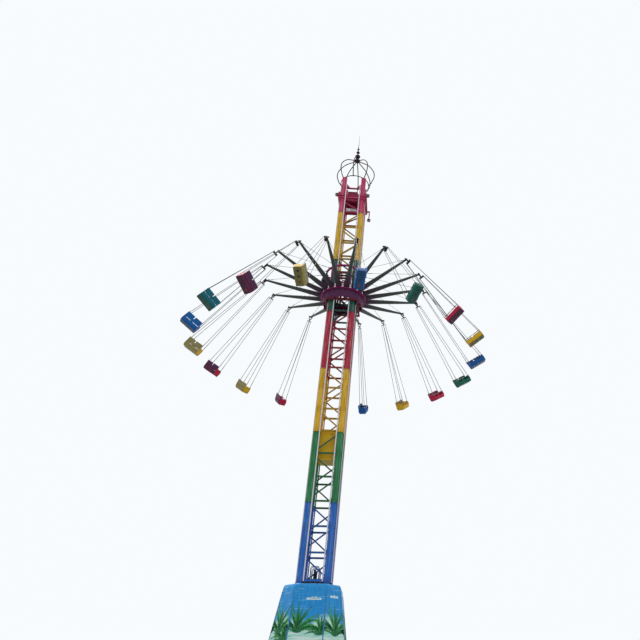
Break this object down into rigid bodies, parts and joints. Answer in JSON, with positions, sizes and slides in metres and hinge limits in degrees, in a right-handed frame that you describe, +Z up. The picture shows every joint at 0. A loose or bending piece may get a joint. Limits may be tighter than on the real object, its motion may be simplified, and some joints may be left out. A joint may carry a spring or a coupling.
{
  "type": "tower swing ride",
  "caption": "Tower swing ride: a carriage climbs a painted lattice tower, and a turntable with long arms swings hanging double benches round it.",
  "frame": {"origin": "centre of the base plate's underside, on the ground under the tower's axis", "axes": "+Z up along the tower's axis; X and Y square to the tower's faces"},
  "size_m": [18.4728, 18.3046, 37.8],
  "materials": {
    "mural_panel": "satin painted cladding panels",
    "foot_steel": "primed structural steel",
    "frame_navy": "satin paint on steel",
    "tower_blue": "gloss paint on steel box section",
    "tower_green": "gloss paint on steel box section",
    "tower_yellow": "gloss paint on steel box section",
    "tower_red": "gloss paint on steel box section",
    "tower_teal": "gloss paint on steel box section",
    "tower_crimson": "gloss paint on steel box section",
    "rail_pale": "pale paint, worn bright where rollers run",
    "head_crimson": "satin paint on steel plate",
    "machine_red": "satin paint on castings and plate",
    "rope_steel": "greased wire rope",
    "crown_dark": "dark paint on bent tube",
    "weight_yellow": "painted cladding panels",
    "carriage_red": "satin paint on steel box section",
    "slewing_purple": "satin paint on machined steel",
    "motor_pink": "enamel on cast motor housing",
    "motor_dark": "enamel on cast motor housing",
    "rim_magenta": "gloss paint on steel",
    "arm_dark": "satin dark paint on tapered tube",
    "hanger_steel": "satin paint on forgings, bare wire rope",
    "bench_blue": "moulded gloss glass-fibre shell",
    "bench_green": "moulded gloss glass-fibre shell",
    "bench_red": "moulded gloss glass-fibre shell",
    "bench_yellow": "moulded gloss glass-fibre shell"
  },
  "bodies": {
    "root": {"base_housing": "mural_panel", "tower_foot": "foot_steel", "base_frame": "frame_navy", "lattice_blue": "tower_blue", "lattice_green": "tower_green", "lattice_yellow_lower": "tower_yellow", "lattice_red_lower": "tower_red", "lattice_teal": "tower_teal", "lattice_yellow_upper": "tower_yellow", "lattice_red_top": "tower_crimson", "guide_rails": "rail_pale", "head_frame": "head_crimson", "hoist_drive": "machine_red", "hoist_ropes": "rope_steel", "crown": "crown_dark"},
    "carriage": {"carriage_frame": "carriage_red", "slewing_base": "slewing_purple"},
    "rotor": {"turntable": "rim_magenta", "spin_motor_front": "motor_pink", "spin_motor_left": "motor_dark", "arm_sector_1": "arm_dark", "arm_sector_2": "arm_dark", "arm_sector_3": "arm_dark"},
    "weight": {"counterweight": "weight_yellow"},
    "chair_01": {"hanger_01": "hanger_steel", "bench_01": "bench_blue"},
    "chair_02": {"hanger_02": "hanger_steel", "bench_02": "bench_green"},
    "chair_03": {"hanger_03": "hanger_steel", "bench_03": "bench_red"},
    "chair_04": {"hanger_04": "hanger_steel", "bench_04": "bench_yellow"},
    "chair_05": {"hanger_05": "hanger_steel", "bench_05": "bench_blue"},
    "chair_06": {"hanger_06": "hanger_steel", "bench_06": "bench_green"},
    "chair_07": {"hanger_07": "hanger_steel", "bench_07": "bench_red"},
    "chair_08": {"hanger_08": "hanger_steel", "bench_08": "bench_yellow"},
    "chair_09": {"hanger_09": "hanger_steel", "bench_09": "bench_red"},
    "chair_10": {"hanger_10": "hanger_steel", "bench_10": "bench_yellow"},
    "chair_11": {"hanger_11": "hanger_steel", "bench_11": "bench_blue"},
    "chair_12": {"hanger_12": "hanger_steel", "bench_12": "bench_green"},
    "chair_13": {"hanger_13": "hanger_steel", "bench_13": "bench_red"},
    "chair_14": {"hanger_14": "hanger_steel", "bench_14": "bench_yellow"},
    "chair_15": {"hanger_15": "hanger_steel", "bench_15": "bench_blue"},
    "chair_16": {"hanger_16": "hanger_steel", "bench_16": "bench_green"},
    "chair_17": {"hanger_17": "hanger_steel", "bench_17": "bench_red"},
    "chair_18": {"hanger_18": "hanger_steel", "bench_18": "bench_yellow"}
  },
  "joints": [
    {"name": "lift", "type": "slide", "parent": "root", "child": "carriage", "axis": [0, 0, 1], "range_m": [-16.9, 3.9]},
    {"name": "weight_travel", "type": "slide", "parent": "root", "child": "weight", "axis": [0, 0, 1], "range_m": [-3.9, 16.9]},
    {"name": "spin", "type": "hinge", "parent": "carriage", "child": "rotor", "pos_m": [0, 0, 23], "axis": [0, 0, 1], "continuous": true},
    {"name": "swing_01", "type": "hinge", "parent": "rotor", "child": "chair_01", "pos_m": [5.09906, 0.09791, 24.1], "axis": [0.0192, -0.9998, 0], "range_deg": [-40, 10]},
    {"name": "swing_02", "type": "hinge", "parent": "rotor", "child": "chair_02", "pos_m": [4.75806, 1.83598, 24.1], "axis": [0.36, -0.933, 0], "range_deg": [-40, 10]},
    {"name": "swing_03", "type": "hinge", "parent": "rotor", "child": "chair_03", "pos_m": [3.84317, 3.35261, 24.1], "axis": [0.6574, -0.7536, 0], "range_deg": [-40, 10]},
    {"name": "swing_04", "type": "hinge", "parent": "rotor", "child": "chair_04", "pos_m": [2.46474, 4.46487, 24.1], "axis": [0.8755, -0.4833, 0], "range_deg": [-40, 10]},
    {"name": "swing_05", "type": "hinge", "parent": "rotor", "child": "chair_05", "pos_m": [0.78902, 5.03859, 24.1], "axis": [0.988, -0.1547, 0], "range_deg": [-40, 10]},
    {"name": "swing_06", "type": "hinge", "parent": "rotor", "child": "chair_06", "pos_m": [-0.98186, 5.00459, 24.1], "axis": [0.9813, 0.1925, 0], "range_deg": [-40, 10]},
    {"name": "swing_07", "type": "hinge", "parent": "rotor", "child": "chair_07", "pos_m": [-2.63432, 4.36696, 24.1], "axis": [0.8563, 0.5165, 0], "range_deg": [-40, 10]},
    {"name": "swing_08", "type": "hinge", "parent": "rotor", "child": "chair_08", "pos_m": [-3.96904, 3.20261, 24.1], "axis": [0.628, 0.7782, 0], "range_deg": [-40, 10]},
    {"name": "swing_09", "type": "hinge", "parent": "rotor", "child": "chair_09", "pos_m": [-4.82503, 1.65198, 24.1], "axis": [0.3239, 0.9461, 0], "range_deg": [-40, 10]},
    {"name": "swing_10", "type": "hinge", "parent": "rotor", "child": "chair_10", "pos_m": [-5.09906, -0.09791, 24.1], "axis": [-0.0192, 0.9998, 0], "range_deg": [-40, 10]},
    {"name": "swing_11", "type": "hinge", "parent": "rotor", "child": "chair_11", "pos_m": [-4.75806, -1.83598, 24.1], "axis": [-0.36, 0.933, 0], "range_deg": [-40, 10]},
    {"name": "swing_12", "type": "hinge", "parent": "rotor", "child": "chair_12", "pos_m": [-3.84317, -3.35261, 24.1], "axis": [-0.6574, 0.7536, 0], "range_deg": [-40, 10]},
    {"name": "swing_13", "type": "hinge", "parent": "rotor", "child": "chair_13", "pos_m": [-2.46474, -4.46487, 24.1], "axis": [-0.8755, 0.4833, 0], "range_deg": [-40, 10]},
    {"name": "swing_14", "type": "hinge", "parent": "rotor", "child": "chair_14", "pos_m": [-0.78902, -5.03859, 24.1], "axis": [-0.988, 0.1547, 0], "range_deg": [-40, 10]},
    {"name": "swing_15", "type": "hinge", "parent": "rotor", "child": "chair_15", "pos_m": [0.98186, -5.00459, 24.1], "axis": [-0.9813, -0.1925, 0], "range_deg": [-40, 10]},
    {"name": "swing_16", "type": "hinge", "parent": "rotor", "child": "chair_16", "pos_m": [2.63432, -4.36696, 24.1], "axis": [-0.8563, -0.5165, 0], "range_deg": [-40, 10]},
    {"name": "swing_17", "type": "hinge", "parent": "rotor", "child": "chair_17", "pos_m": [3.96904, -3.20261, 24.1], "axis": [-0.628, -0.7782, 0], "range_deg": [-40, 10]},
    {"name": "swing_18", "type": "hinge", "parent": "rotor", "child": "chair_18", "pos_m": [4.82503, -1.65198, 24.1], "axis": [-0.3239, -0.9461, 0], "range_deg": [-40, 10]}
  ],
  "couplings": [
    {"joint": "weight_travel", "follows": "lift", "ratio": -1}
  ]
}
